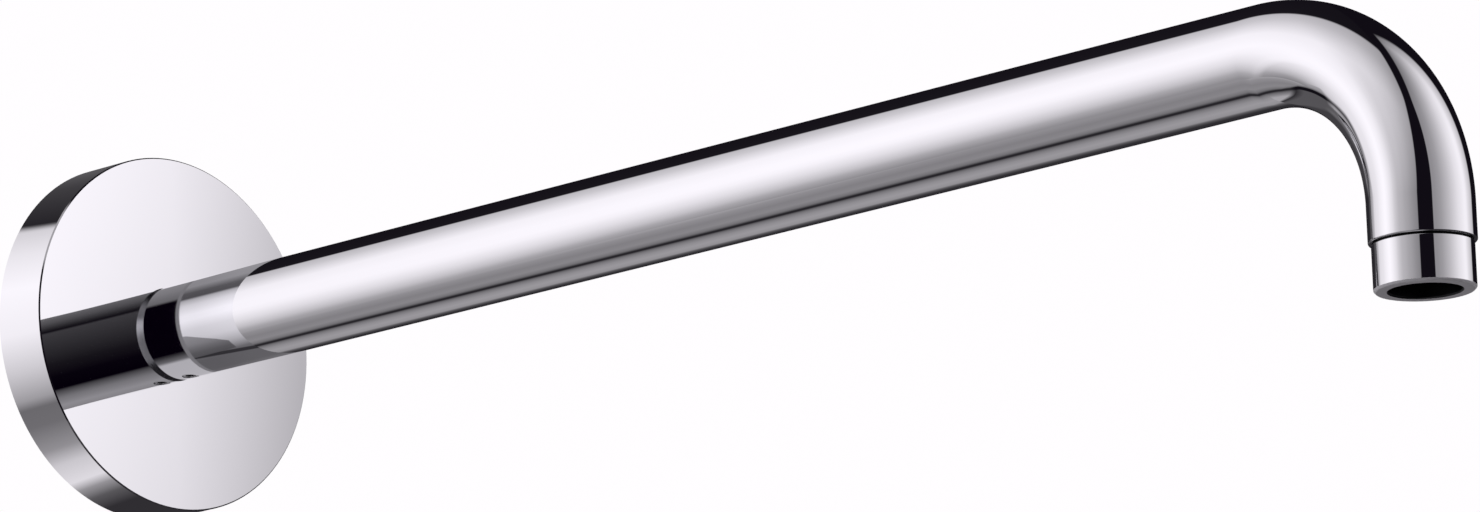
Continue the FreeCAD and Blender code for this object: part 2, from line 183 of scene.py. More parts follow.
def place_parts(tree):
    """x, y, z of a place on a card, and its angle round the arm's line in degrees"""
    place = put(tree, "ShaderNodeTexCoord").outputs["Object"]
    x, y, z = put(tree, "ShaderNodeSeparateXYZ", {0: place}).outputs
    return x, y, z, angle_of(tree, z, multiply(tree, y, -1))


print("sums:", multiply.__name__, length.__name__, angle_of.__name__, either.__name__, place_parts.__name__)

# %% [markdown]
# ## Light cards
# A card is a plain shape that glows in the tones of its sum, and mirror rays alone see it. An area lamp would glow too,
# but in one tone all over. A card that stands close to the arm would hide the room behind it from other rays, so it can
# be made clear from the back and beyond a reach. The photo's whites and darks are a little violet, and so is the light.

# %% Light cards
PANEL_LEVEL = 1.1
LIGHT_TINT, SHADE_TINT = (1.012, 0.974, 1.02), (-0.0006, -0.0017, 0.001)


def light_card(card, paint_it, reach=None):
    """makes card a part of the studio that mirror rays alone see, in the tones of paint_it; one with a reach shows
    its front alone, and no further than that many metres"""
    material = bpy.data.materials.new(card.name)
    material.use_nodes = True
    tree = material.node_tree
    tree.nodes.remove(tree.nodes["Principled BSDF"])
    tint = put(tree, "ShaderNodeVectorMath", {0: paint_it(tree), 1: LIGHT_TINT, 2: SHADE_TINT},
               operation="MULTIPLY_ADD").outputs[0]
    glow = put(tree, "ShaderNodeEmission", {"Color": tint, "Strength": PANEL_LEVEL}).outputs[0]
    if reach:
        behind = put(tree, "ShaderNodeNewGeometry").outputs["Backfacing"]
        far = calc(tree, "GREATER_THAN", put(tree, "ShaderNodeLightPath").outputs["Ray Length"], reach)
        clear = put(tree, "ShaderNodeBsdfTransparent").outputs[0]
        glow = put(tree, "ShaderNodeMixShader", {0: calc(tree, "MAXIMUM", behind, far), 1: glow, 2: clear}).outputs[0]
    tree.links.new(glow, tree.nodes["Material Output"].inputs["Surface"])
    material.cycles.emission_sampling = "NONE"
    card.data.materials.append(material)
    card.visible_camera = card.visible_diffuse = card.visible_shadow = card.visible_transmission = False
    print(card.name, "painted with", len(tree.nodes), "nodes")


print("cards glow at", PANEL_LEVEL, "times their tone, tinted", LIGHT_TINT)

# %% [markdown]
# ## Side panel and table
# The photo's stripes say what stood round the arm. A long bright panel ran beside it on the camera's side, from
# overhead to below, and a dim table lay under it. A lamp of one strength would leave flat stripes, so each has its
# own ramps. A point of this room is named by round_arm, its angle round the arm's line, 0 towards the camera's side
# and 90 straight up, and by along, how far it lies along that line for each metre beside it, less than 0 towards the
# wall.

# %% Side panel and table
WALL_START = -1.15                      # along, where the wall's side of the room starts
TABLE_TOP = -53                         # round_arm, where the panel ends and the table starts


def paint_panel(tree, round_arm, along):
    """brightest a little above the arm, and black past its upper edge"""
    upper = tones(tree, round_arm, [(20, 1), (43, 0.94), (59, 0.75), (71, 0.61), (84, 0.52), (87, 0.01), (130, 0.008)])
    # the panel leans: on the outlet's side it starts to darken higher up
    lean = tones(tree, along, [(-1.2, 0.13), (-1.1, 0), (-1.03, 0), (-0.93, 0.13), (-0.5, 0.565), (-0.35, 0.78),
                               (-0.15, 0.95), (0.1, 1)])
    leaned = calc(tree, "SUBTRACT", round_arm, calc(tree, "MULTIPLY_ADD", lean, 54, -7))
    lower = tones(tree, leaned, [(-53, 0.28), (-41, 0.41), (-33, 0.56), (-17, 0.78), (0, 0.95), (10, 1)])
    fade = tones(tree, along, [(-4.2, 0.78), (-2.8, 0.8), (-1.8, 0.83), (-1.3, 0.92), (-0.9, 1), (-0.4, 0.95),
                               (-0.2, 0.86), (0, 0.8), (0.2, 0.68), (0.4, 0.52), (0.6, 0.4)])
    return multiply(tree, upper, lower, fade)


def paint_table(tree, round_arm, along):
    """stripes that run a little askew to the arm, but level with it near the plate"""
    askew = calc(tree, "MULTIPLY_ADD", calc(tree, "MAXIMUM", along, -0.95), -62, -53)
    return tones(tree, calc(tree, "ADD", round_arm, askew), [
        (-170, 0.025), (-160, 0.03), (-150, 0.08), (-145, 0.15), (-140, 0.29), (-125, 0.33), (-113, 0.28), (-104, 0.2),
        (-100, 0.14), (-96, 0.02), (-92, 0.02), (-86, 0.17), (-77, 0.25), (-65, 0.225), (-53, 0.28), (-47, 0.36)])


print("the table starts", -TABLE_TOP, "degrees below the arm")

# %% [markdown]
# ## Wall's side
# The inner side of the bend mirrors the room towards the wall: a black post, and past it the dim wall and the end of a
# table. It could be painted on the ball with a brush, but a painted image isn't sharp at every size, and ramps are.
# Each ramp goes across the post at one height, and from height to height they blend. Bearing is the compass angle
# from the wall's direction, and past is how far a place lies beyond the post, which curves with height.

# %% Wall's side
def paint_wall(tree, bearing, height, panel):
    """the tones towards the wall, and how far each place lies past the post, in degrees"""
    post = tones(tree, height, [(-40, 0.95), (-30, 0.8), (-25, 0.62), (-20, 0.35), (-13, 0.2), (-7, 0.1), (0, 0),
                                (4, 0.14), (10, 0.32)])
    past = calc(tree, "SUBTRACT", bearing, calc(tree, "MULTIPLY_ADD", post, 22, -12))
    low = tones(tree, past, [(-13, 0.33), (-5, 0.2), (-1.5, 0.02), (1.5, 0.02), (6, 0.15), (12, 0.25), (18, 0.38)])
    mid = tones(tree, past, [(-14, 1), (-10, 0.36), (-6, 0.29), (-3.5, 0.12), (-2.5, 0.006), (2.5, 0.006),
                             (3.6, 0.09)])
    high = tones(tree, past, [(-14, 1), (-8, 0.85), (-5, 0.6), (-2.5, 0.27), (0, 0.05), (2, 0.15), (4.5, 0.34),
                              (7, 0.36), (9.5, 0.15), (12, 0.1), (20, 0.14), (28, 0.05)])
    top = tones(tree, past, [(-14, 1), (-7, 0.85), (-4, 0.5), (0, 0.25), (4, 0.3), (8, 0.43), (12, 0.33), (16, 0.1),
                             (21, 0.045)])
    beside = tones(tree, bearing, [(-14, 0.75), (-9, 0.48), (-3, 0.34), (3, 0.15), (9, 0.04), (15, 0.02)])
    beyond = calc(tree, "GREATER_THAN", past, 0)
    foot = either(tree, beyond, 1, tones(tree, height, [(-23, 0.15), (-18, 1)]))
    wall = either(tree, tones(tree, height, [(-25, 0), (-22, 1)]), low, multiply(tree, mid, foot))
    for next_wall, start, full in ((high, -8, -5), (top, 1, 7), (beside, 10, 12)):
        wall = either(tree, tones(tree, height, [(start, 0), (full, 1)]), wall, next_wall)
    return either(tree, beyond, calc(tree, "MINIMUM", wall, panel), wall), past


print("wall's side: ramps low, mid, high, top and beside")

# %% [markdown]
# ## Light tent
# A second panel stood in front of the outlet, a black gap between the two held the camera, and it was dark behind and
# above. The tent is a ball round the arm with all of this room on its inside. It could be the world's background, but
# the world also lights what is not metal. The ball is large, so a place on it is as good as a direction. Compass is 0
# straight out of the wall and 90 away from the camera's side, and height is 90 straight up.

# %% Light tent
TENT_RADIUS, TENT_MIDDLE = 8, (0.38, 0, 0)
DARKEST = 0.006


def side_of(tree, unit, normal, softness=0.012):
    """1 on the side of a straight edge that normal points to, 0 on the other"""
    reach = calc(tree, "ADD", multiply(tree, unit[0], normal[0]), multiply(tree, unit[1], normal[1]))
    reach = calc(tree, "ADD", reach, multiply(tree, unit[2], normal[2]))
    return put(tree, "ShaderNodeMapRange", {"Value": reach, "From Min": -softness, "From Max": softness}).outputs[0]


def paint_front(tree, unit, compass, height):
    """the panel in front of the outlet, with three straight edges"""
    sweep = tones(tree, compass, [(-21, 0.275), (-9, 0.34), (9, 0.51), (33, 0.78), (51, 0.915), (57, 0.9), (63, 0.77),
                                  (75, 0.58), (90, 0.4)])
    climb = tones(tree, height, [(30, 1), (46, 0.9), (54, 0.77), (62, 0.6), (70, 0.41), (76, 0.24)])
    return multiply(tree, sweep, climb, side_of(tree, unit, (0.456, 0.889, -0.043)),
                    side_of(tree, unit, (0.635, 0.735, -0.237)), side_of(tree, unit, (0.988, -0.156, 0), 0.03),
                    calc(tree, "GREATER_THAN", compass, -40), tones(tree, height, [(-20, 0), (0, 1)]))


def paint_tent(tree):
    x, y, z, round_arm = place_parts(tree)
    unit = [multiply(tree, side, 1 / TENT_RADIUS) for side in (x, y, z)]
    along = calc(tree, "DIVIDE", x, length(tree, y, z))
    compass, bearing = angle_of(tree, y, x), angle_of(tree, y, multiply(tree, x, -1))
    height = calc(tree, "DEGREES", calc(tree, "ARCSINE", unit[2]))
    # the panel ends at two straight edges, and so does the table where it goes on past the plate
    gap = multiply(tree, side_of(tree, unit, (-0.847, -0.455, 0.277)), side_of(tree, unit, (-0.756, -0.645, 0.109)))
    table_gap = calc(tree, "MAXIMUM", gap, calc(tree, "GREATER_THAN", along, WALL_START))
    panel = either(tree, calc(tree, "LESS_THAN", round_arm, TABLE_TOP),
                   multiply(tree, paint_panel(tree, round_arm, along), gap),
                   multiply(tree, paint_table(tree, round_arm, along), table_gap))
    wall, past = paint_wall(tree, bearing, height, panel)
    at_wall = multiply(tree, calc(tree, "LESS_THAN", along, WALL_START), calc(tree, "GREATER_THAN", past, -14))
    side = either(tree, at_wall, panel, wall)
    return calc(tree, "MAXIMUM", calc(tree, "MAXIMUM", side, paint_front(tree, unit, compass, height)), DARKEST)


bpy.ops.object.select_all(action="DESELECT")
bpy.ops.mesh.primitive_uv_sphere_add(segments=64, ring_count=32, radius=TENT_RADIUS, location=TENT_MIDDLE)
tent = bpy.context.object
tent.name = "light_tent"
light_card(tent, paint_tent)

# %% [markdown]
# ## Ring cards
# Near the plate the photo changes from one millimetre of metal to the next, and the tent is too far away for that. So
# two ring-shaped cards stand close to it, each clear from its other side. A mirror ray leaves a round surface at twice
# the angle of the point it met. The tones could be given by the place on the card, but they are easier to judge on the
# metal, so a small sum turns angles on the metal to angles on the card.

# %% Ring cards
CAMERA_TURN = -17.8                     # the camera's angle round the arm's line
RAY_SLOPE = 0.945                       # how fast a mirror ray leaves the line for each metre along it


def ring_card(name, x, inner, outer, faces):
    """a flat ring round the arm's line, its front towards +X or -X"""
    bpy.ops.object.select_all(action="DESELECT")
    bpy.ops.mesh.primitive_circle_add(vertices=96, radius=inner, rotation=(0, pi / 2, 0), location=(x, 0, 0))
    card = bpy.context.object
    card.name = name
    bpy.ops.object.transform_apply(location=True, rotation=True, scale=True)
    bpy.ops.object.mode_set(mode="EDIT")
    bpy.ops.mesh.select_all(action="SELECT")
    bpy.ops.mesh.extrude_edges_move()
    bpy.ops.transform.resize(value=(1, outer / inner, outer / inner), constraint_axis=(False, True, True),
                             center_override=(x, 0, 0))
    bpy.ops.object.mode_set(mode="OBJECT")
    if card.data.polygons[0].normal.x * faces < 0:
        card.data.flip_normals()
    return card


def crossing(turn, radius, run):
    """the angle round the line at which the ray mirrored at angle turn, on a cylinder, crosses a card run away"""
    a, out = radians(turn), run * RAY_SLOPE
    return CAMERA_TURN + degrees(atan2(radius * sin(a) + out * sin(2 * a), radius * cos(a) + out * cos(2 * a)))


def on_card(radius, run, stops):
    """stops given by the angle on the mirror, turned to angles on the card"""
    turned_stops = []
    for turn, tone in stops:
        place = crossing(turn, radius, run)
        if turn > 45 and place < 0:
            place += 360
        elif turn < -45 and place > 0:
            place -= 360
        turned_stops.append((place, tone))
    return sorted(turned_stops)


print("a ray mirrored at 30 degrees crosses a card 50 mm away at", round(crossing(30, 0.04, 0.05)), "degrees")

# %% [markdown]
# ## Card behind the plate
# The first ring card stands behind the plate and shows in its rim: a bright side, a black top and a dim underside with
# one pale stripe. The same stripes could be painted on the rim, but they would stay where they are when the camera
# moves, and a real rim's don't.

# %% Card behind the plate
RIM_R, RIM_RUN = 0.042, 0.057


def paint_rim(tree):
    return tones(tree, place_parts(tree)[3], on_card(RIM_R, RIM_RUN, [
        (-87, 0.03), (-57, 0.03), (-50, 0.1), (-45, 0.3), (-41, 0.74), (-33, 0.6), (-27, 0.29), (-18, 0.16),
        (-12, 0.15), (-9, 0.34), (0, 0.61), (12, 0.9), (27, 0.98), (39, 0.83), (48, 0.66), (50.5, 0.02), (69, 0.05),
        (80, 0.09)]))


light_card(ring_card("rim_card", -0.05, 0.05, 0.102, 1), paint_rim, reach=0.2)

# %% [markdown]
# ## Pale shin
# The other card shows in the plate's face, and in what the plate and the foot of the tube mirror of each other. A
# mirror ray from the tube goes to the plate and comes back from it to the card, and the further from the plate it
# left the tube, the further from the arm's line it ends. So that distance tells from_face, the metres between the
# plate's face and the point on the tube, and it is less than 0 for the tube's own image in the plate. From 14 mm on,
# the tube has a pale shin. A painted tube would show it from every side, but in the photo it is only mirrored.

# %% Pale shin
TUBE_OUTSIDE = 0.0111
FACE_TO_CARD = 0.086


def from_plate(tree, y, z, round_arm):
    """from_face for the ray that ends at this place on the card"""
    turn = multiply(tree, calc(tree, "SUBTRACT", round_arm, CAMERA_TURN), 0.5)
    start = multiply(tree, calc(tree, "COSINE", calc(tree, "RADIANS", turn)), TUBE_OUTSIDE)
    ray = calc(tree, "SUBTRACT", length(tree, y, z), start)
    return calc(tree, "SUBTRACT", multiply(tree, ray, 1 / RAY_SLOPE), FACE_TO_CARD)


def paint_shin(tree, by_turn, round_arm, from_face):
    """the tube past the grey line: pale above, with a darker leaf and a thin dark line below"""
    shin = by_turn(0.106, [(-88, 0.17), (-66, 0.12), (-44, 0.12), (-36, 0.14), (-24, 0.41), (-12, 0.64), (0, 0.73),
                           (12, 0.95), (18, 0.95), (30, 0.72), (37.5, 0.45), (40.5, 0.085), (48, 0.1), (60, 0.28),
                           (88, 0.28)])
    paler = put(tree, "ShaderNodeMapRange", {"Value": from_face, "From Min": 0.02, "From Max": 0.033,
                                             "To Min": 1.0, "To Max": 1.12}).outputs[0]
    # the dark line sinks a little with every millimetre from the plate
    past_line = calc(tree, "SUBTRACT", round_arm, calc(tree, "MULTIPLY_ADD", from_face, -615, -77))
    shin = multiply(tree, shin, paler, tones(tree, past_line, [(-7, 1), (-4, 0.25), (4, 0.25), (7, 1)]))
    leaf_end = by_turn(0.106, [(-37, 0), (-36, 0.03), (-24, 0.029), (-18, 0.025), (-12, 0.02), (-6, 0.015), (-3, 0)])
    leaf = by_turn(0.106, [(-36, 0.09), (-30, 0.11), (-24, 0.16), (-18, 0.23), (-6, 0.3)])
    return either(tree, calc(tree, "LESS_THAN", from_face, leaf_end), shin, leaf)


print("the card is", FACE_TO_CARD, "m from the plate's face")

# %% [markdown]
# ## Card in front of the plate
# Zones by from_face make up the card: the tube's own image in the plate, the dark foot, the thin grey line 13 mm from
# the plate, and the shin. The plate's plain face is a disc laid over them. A card for each zone could be cut to shape,
# but the zones meet along curves, and sums draw those more exactly.

# %% Card in front of the plate
FOOT_END, LINE_END, LINE_TONE = 0.0125, 0.0139, 0.2
FACE_RADIUS, FACE_IMAGE, FACE_SCALE = 0.0425, (0.0774, 0.0248), 1.063   # the plate's face, as the card has to show it


def paint_foot(tree):
    _, y, z, round_arm = place_parts(tree)
    from_face = from_plate(tree, y, z, round_arm)

    def by_turn(run, stops):
        """a tone by the angle on the tube, for rays that go this far along X before they meet the card"""
        return tones(tree, round_arm, on_card(TUBE_OUTSIDE, run, stops))

    pattern = by_turn(0.08, [(-88, 0.2), (-60, 0.3), (-45, 0.2), (-34, 0.06), (-31, 0.002), (-15, 0.003), (0, 0.01),
                             (20, 0.03), (40, 0.05), (43, 0.005), (47, 0.02), (60, 0.09), (88, 0.18)])
    foot = by_turn(0.092, [(-88, 0.5), (-37, 0.48), (-33, 0.15), (-27, 0.05), (-23, 0.002), (41, 0.002), (45, 0.15),
                           (60, 0.22), (88, 0.28)])
    shin = paint_shin(tree, by_turn, round_arm, from_face)
    for start, zone in ((0.0, foot), (FOOT_END, LINE_TONE), (LINE_END, shin)):
        pattern = either(tree, calc(tree, "GREATER_THAN", from_face, start), pattern, zone)
    face_y, face_z = (multiply(tree, calc(tree, "SUBTRACT", side, middle), 1 / FACE_SCALE)
                      for side, middle in zip((y, z), FACE_IMAGE))
    face = tones(tree, face_y, [(-0.04, 0.95), (-0.02, 0.89), (0, 0.82), (0.02, 0.66), (0.04, 0.48)])
    face = calc(tree, "ADD", face, multiply(tree, face_z, 1.4))
    return either(tree, calc(tree, "LESS_THAN", length(tree, face_y, face_z), FACE_RADIUS), pattern, face)


light_card(ring_card("foot_card", 0.1, 0.03, 0.128, -1), paint_foot, reach=0.25)

# %% [markdown]
# ## Shared effects
# Two effects turn up in more than one finish, so each is a node group. Lathe marks are fine rings that a cutting tool
# leaves, close together and uneven. Seen along the axis or along the radius they repeat with the same spacing, so they
# follow the sum of both. Haze is the soft, cloudy difference that polishing, damp and hands leave in any metal.

# %% Shared effects
def effect(name, inputs, outputs):
    """a new node group with its input and output nodes"""
    group = bpy.data.node_groups.new(name, "ShaderNodeTree")
    for label, kind, value in inputs:
        socket = group.interface.new_socket(label, in_out="INPUT", socket_type=kind)
        if value is not None:
            socket.default_value = value
    for label in outputs:
        group.interface.new_socket(label, in_out="OUTPUT", socket_type="NodeSocketFloat")
    return group, put(group, "NodeGroupInput"), put(group, "NodeGroupOutput")


lathe_marks, given, made = effect("lathe_marks", [
    ("Place", "NodeSocketVector", None), ("Centre", "NodeSocketFloat", 0.0), ("Upright", "NodeSocketFloat", 0.0),
    ("Spacing", "NodeSocketFloat", 0.0002)], ["Height", "Tint"])
x, y, z = put(lathe_marks, "ShaderNodeSeparateXYZ", {0: given.outputs["Place"]}).outputs
turn = given.outputs["Upright"]
across = calc(lathe_marks, "SUBTRACT", x, given.outputs["Centre"])
side, along = either(lathe_marks, turn, z, across), either(lathe_marks, turn, across, z)
rings = calc(lathe_marks, "ADD", length(lathe_marks, y, side), along)
step = calc(lathe_marks, "DIVIDE", rings, given.outputs["Spacing"])
fine = put(lathe_marks, "ShaderNodeTexNoise", {"W": step, "Scale": 1.0, "Detail": 2.0}, noise_dimensions="1D")
broad = put(lathe_marks, "ShaderNodeTexNoise", {"W": calc(lathe_marks, "DIVIDE", step, 9), "Scale": 1.0, "Detail": 1.0},
            noise_dimensions="1D")
lathe_marks.links.new(fine.outputs[0], made.inputs["Height"])
lathe_marks.links.new(broad.outputs[0], made.inputs["Tint"])

haze, given, made = effect("haze", [("Place", "NodeSocketVector", None), ("Size", "NodeSocketFloat", 0.02),
                                    ("Least", "NodeSocketFloat", 0.0), ("Most", "NodeSocketFloat", 1.0)],
                           ["Amount", "Cloud"])
count = calc(haze, "DIVIDE", 1.0, given.outputs["Size"])
cloud = put(haze, "ShaderNodeTexNoise", {"Vector": given.outputs["Place"], "Scale": count, "Detail": 3.0}).outputs[0]
amount = put(haze, "ShaderNodeMapRange", {"Value": cloud, "From Min": 0.35, "From Max": 0.7,
                                          "To Min": given.outputs["Least"], "To Max": given.outputs["Most"]})
haze.links.new(amount.outputs[0], made.inputs["Amount"])
haze.links.new(cloud, made.inputs["Cloud"])
print("effects:", [group.name for group in bpy.data.node_groups])

# %% [markdown]
# ## Finish helpers
# Each finish starts as a new material with its Principled shader, which stays in the material itself so that the
# export can bake it. The steps that every finish needs are helpers: an effect is placed, two colours are blended by
# a mask, and a height becomes a bump.

# %% Finish helpers
def use(tree, group, inputs):
    """a node group placed in a material"""
    return put(tree, "ShaderNodeGroup", inputs, node_tree=group).outputs


def blank_finish(name, metallic=0.0):
    """a new material, and its tree, its shader and the place on the piece"""
    material = bpy.data.materials.new(name)
    material.use_nodes = True
    tree = material.node_tree
    shader = tree.nodes["Principled BSDF"]
    shader.inputs["Metallic"].default_value = metallic
    return material, tree, shader, put(tree, "ShaderNodeTexCoord").outputs["Object"]


def blend(tree, share, a, b):
    """a colour between a and b"""
    a, b = ((*colour, 1) if isinstance(colour, tuple) else colour for colour in (a, b))
    return put(tree, "ShaderNodeMix", {"Factor": share, "A": a, "B": b}, data_type="RGBA").outputs["Result"]


def bumped(tree, shader, height, distance, strength=1.0):
    bump = put(tree, "ShaderNodeBump", {"Height": height, "Distance": distance, "Strength": strength})
    tree.links.new(bump.outputs[0], shader.inputs["Normal"])


print("finish helpers:", use.__name__, blank_finish.__name__, blend.__name__, bumped.__name__)

# %% [markdown]
# ## Chrome
# The tube, collar and plate are brass, buffed and plated with chrome, a slightly blue, nearly perfect mirror. Buffing
# leaves the surface a few thousandths of a millimetre wavy over a finger's width, and a breath of haze in its gloss.
# The wheel doesn't reach everywhere: in the plate's hollow back the chrome is thin and lies dull on the lathe marks,
# and the collar's end is satin as it came off the lathe. The tube's bevel at the plate is a little rougher and painted
# darker, as painted shade where the tube meets the plate. The outlet's bore and the groove of the seam are painted
# nearly black, as painted shade in these recesses. A mask for each place, from x, y and z, picks the tone and the
# gloss. One piece could also have a material for each place, but the borders would then have to follow the faces.

# %% Chrome
OUTLET_LINE = 0.389                     # x of the line that the leg and the collar stand round
HOLLOW_RADIUS, HOLLOW_DEPTH = 0.0394, 0.0116
END_FACE_TOP = -0.0555
BORE_RADIUS, BORE_TOP = 0.0078, -0.044
SEAM_RADIUS, SEAM_BOTTOM, SEAM_TOP = 0.0103, -0.04642, -0.0459
BEVEL_RADIUS, BEVEL_START, BEVEL_END = 0.0112, 0.01402, 0.01525


def under(tree, value, limit):
    """1 where value is less than limit"""
    return calc(tree, "LESS_THAN", value, limit)


chrome, tree, shader, place = blank_finish("polished_chrome", metallic=1.0)
cloudy = use(tree, haze, {"Place": place, "Size": 0.03, "Least": 0.008, "Most": 0.022})
marks = use(tree, lathe_marks, {"Place": place, "Spacing": 0.0004})
x, y, z = put(tree, "ShaderNodeSeparateXYZ", {0: place}).outputs
off_arm, off_outlet = length(tree, y, z), length(tree, calc(tree, "SUBTRACT", x, OUTLET_LINE), y)
hollow = multiply(tree, under(tree, off_arm, HOLLOW_RADIUS), under(tree, x, HOLLOW_DEPTH))
end_face = under(tree, z, END_FACE_TOP)
bore = multiply(tree, under(tree, off_outlet, BORE_RADIUS), under(tree, z, BORE_TOP))
seam = multiply(tree, under(tree, off_outlet, SEAM_RADIUS), under(tree, z, SEAM_TOP), under(tree, SEAM_BOTTOM, z))
# painted shade: the bore and the seam's groove take the nearly black colour below
dark = calc(tree, "MAXIMUM", bore, seam)
# painted shade: the bevel where the tube meets the plate gets a darker colour below
bevel = multiply(tree, under(tree, off_arm, BEVEL_RADIUS), under(tree, x, BEVEL_END), under(tree, BEVEL_START, x))

gloss = either(tree, hollow, cloudy["Amount"], calc(tree, "MULTIPLY_ADD", marks["Tint"], 0.2, 0.3))
gloss = either(tree, dark, either(tree, end_face, gloss, 0.85), 0.35)
gloss = either(tree, bevel, gloss, 0.15)
tree.links.new(gloss, shader.inputs["Roughness"])
plated = blend(tree, cloudy["Cloud"], (0.885, 0.89, 0.905), (0.875, 0.88, 0.895))
thin = blend(tree, marks["Tint"], (0.62, 0.61, 0.58), (0.5, 0.5, 0.49))
colour = blend(tree, end_face, blend(tree, hollow, plated, thin), (0.95, 0.95, 0.96))
# painted shade on the bevel where the tube meets the plate
colour = blend(tree, bevel, colour, (0.52, 0.52, 0.54))
# painted shade: nearly black in the bore and in the seam's groove
tree.links.new(blend(tree, dark, colour, (0.04, 0.04, 0.042)), shader.inputs["Base Color"])
wave = multiply(tree, cloudy["Cloud"], 0.3)
bumped(tree, shader, either(tree, hollow, wave, marks["Height"]), 0.00002)
print(chrome.name, "with masks for hollow, end face, bore, seam and bevel")

# %% [markdown]
# ## Brass
# The nipple and the sleeve are bare brass from the lathe: yellow, a little darker and browner where damp air has been
# at it, with the marks of the tool all round. One even yellow would look like paint, so the tarnish is a soft cloud
# that shifts the colour and takes some of the gloss with it.

# %% Brass
brass, tree, shader, place = blank_finish("turned_brass", metallic=1.0)
marks = use(tree, lathe_marks, {"Place": place, "Spacing": 0.00018})
tarnish = use(tree, haze, {"Place": place, "Size": 0.006, "Least": 0.0, "Most": 0.75})
bright = blend(tree, marks["Tint"], (0.80, 0.61, 0.30), (0.72, 0.52, 0.24))
tree.links.new(blend(tree, tarnish["Amount"], bright, (0.52, 0.35, 0.16)), shader.inputs["Base Color"])
tree.links.new(calc(tree, "MULTIPLY_ADD", tarnish["Amount"], 0.22, 0.24), shader.inputs["Roughness"])
bumped(tree, shader, marks["Height"], 0.000012)
print(brass.name, "with lathe marks and tarnish")

# %% [markdown]
# ## Rubber
# The sealing rings are smooth black rubber with a trace of grease, glossy in patches. The gasket is a softer, matte
# grey rubber with a fine pebbled skin, pale dust in its grooves. The pebbles could be modelled, but at half a
# millimetre a bump does as well.

# %% Rubber
ring_rubber, tree, shader, place = blank_finish("ring_rubber")
grease = use(tree, haze, {"Place": place, "Size": 0.003, "Least": 0.28, "Most": 0.55})
tree.links.new(grease["Amount"], shader.inputs["Roughness"])
tree.links.new(blend(tree, grease["Cloud"], (0.016, 0.016, 0.017), (0.03, 0.03, 0.031)), shader.inputs["Base Color"])
skin = put(tree, "ShaderNodeTexNoise", {"Vector": place, "Scale": 4000.0, "Detail": 2.0}).outputs[0]
bumped(tree, shader, skin, 0.00001, 0.5)

seal_rubber, tree, shader, place = blank_finish("seal_rubber")
dust = use(tree, haze, {"Place": place, "Size": 0.004, "Least": 0.0, "Most": 0.6})
pebbles = put(tree, "ShaderNodeTexVoronoi", {"Vector": place, "Scale": 2200.0}).outputs["Distance"]
x, y, z = put(tree, "ShaderNodeSeparateXYZ", {0: place}).outputs
in_groove = put(tree, "ShaderNodeMapRange", {"Value": x, "From Min": 0.0001, "From Max": 0.0005}).outputs[0]
dust = calc(tree, "MULTIPLY", dust["Amount"], calc(tree, "MULTIPLY_ADD", in_groove, 0.6, 0.4))
dark = blend(tree, pebbles, (0.075, 0.075, 0.078), (0.11, 0.11, 0.113))
tree.links.new(blend(tree, dust, dark, (0.2, 0.198, 0.19)), shader.inputs["Base Color"])
tree.links.new(calc(tree, "MULTIPLY_ADD", dust, 0.15, 0.68), shader.inputs["Roughness"])
bumped(tree, shader, pebbles, 0.00004, 0.6)
print(ring_rubber.name, "with grease,", seal_rubber.name, "with pebbles and dust")

# %% [markdown]
# ## Steel
# The grub screw is bright stainless steel, turned like the brass. It stands upright, so the same group of lathe marks
# is turned round the screw's own axis, where a second group would repeat the first.

# %% Steel
steel, tree, shader, place = blank_finish("screw_steel", metallic=1.0)
marks = use(tree, lathe_marks, {"Place": place, "Centre": 0.019, "Upright": 1.0, "Spacing": 0.00012})
worn = use(tree, haze, {"Place": place, "Size": 0.0015, "Least": 0.16, "Most": 0.34})
tree.links.new(blend(tree, marks["Tint"], (0.56, 0.56, 0.57), (0.46, 0.46, 0.465)), shader.inputs["Base Color"])
tree.links.new(worn["Amount"], shader.inputs["Roughness"])
bumped(tree, shader, marks["Height"], 0.000008)
print("finishes:", [m.name for m in (chrome, brass, ring_rubber, seal_rubber, steel)])

# %% [markdown]
# ## Workbench
# An operator acts on all that is selected, so each step starts from a clear selection. Each finished mesh has its
# doubles merged and its faces turned outwards, and it is measured: its box, and the edges that aren't shared by two
# faces, of which a closed piece has none. Looking at it would do too, but a hole of a hundredth of a millimetre is
# easily missed.

# %% Workbench
MM = 0.001
MERGE_WITHIN = 2e-6


def deselect():
    if bpy.context.object and bpy.context.object.mode == "EDIT":
        bpy.ops.object.mode_set(mode="OBJECT")
    bpy.ops.object.select_all(action="DESELECT")


def pick(piece):
    """selects this piece alone"""
    deselect()
    piece.select_set(True)
    bpy.context.view_layer.objects.active = piece


def edge_uses(piece):
    """how many faces share each edge"""
    uses = [0] * len(piece.data.edges)
    for loop in piece.data.loops:
        uses[loop.edge_index] += 1
    return uses


def report(piece):
    """says how big the piece is, and whether its surface is closed"""
    low = [round(min(v.co[k] for v in piece.data.vertices) / MM, 2) for k in range(3)]
    high = [round(max(v.co[k] for v in piece.data.vertices) / MM, 2) for k in range(3)]
    odd = sum(1 for n in edge_uses(piece) if n != 2)
    print(piece.name, "from", low, "to", high, "mm,", len(piece.data.polygons), "faces, edges not shared by two:", odd)


def clean_up(piece):
    """doubles merged, and every face turned outwards"""
    bpy.ops.object.mode_set(mode="EDIT")
    bpy.ops.mesh.select_all(action="SELECT")
    bpy.ops.mesh.remove_doubles(threshold=MERGE_WITHIN)
    bpy.ops.mesh.normals_make_consistent(inside=False)
    bpy.ops.object.mode_set(mode="OBJECT")
    report(piece)


print("workbench: lengths in mm, doubles merged within", MERGE_WITHIN / MM, "mm")

# %% [markdown]
# ## Turned pieces
# Most parts of a shower arm come off a lathe: a bar turns, and a tool cuts its outline. Spin does the same here. One
# point is extruded from corner to corner of half the outline, and the outline is spun once round the piece's axis. A
# cylinder with insets would give the same shape with more steps, and each change of size would have to be redone.

# %% Lathe
TURN_STEPS = 144


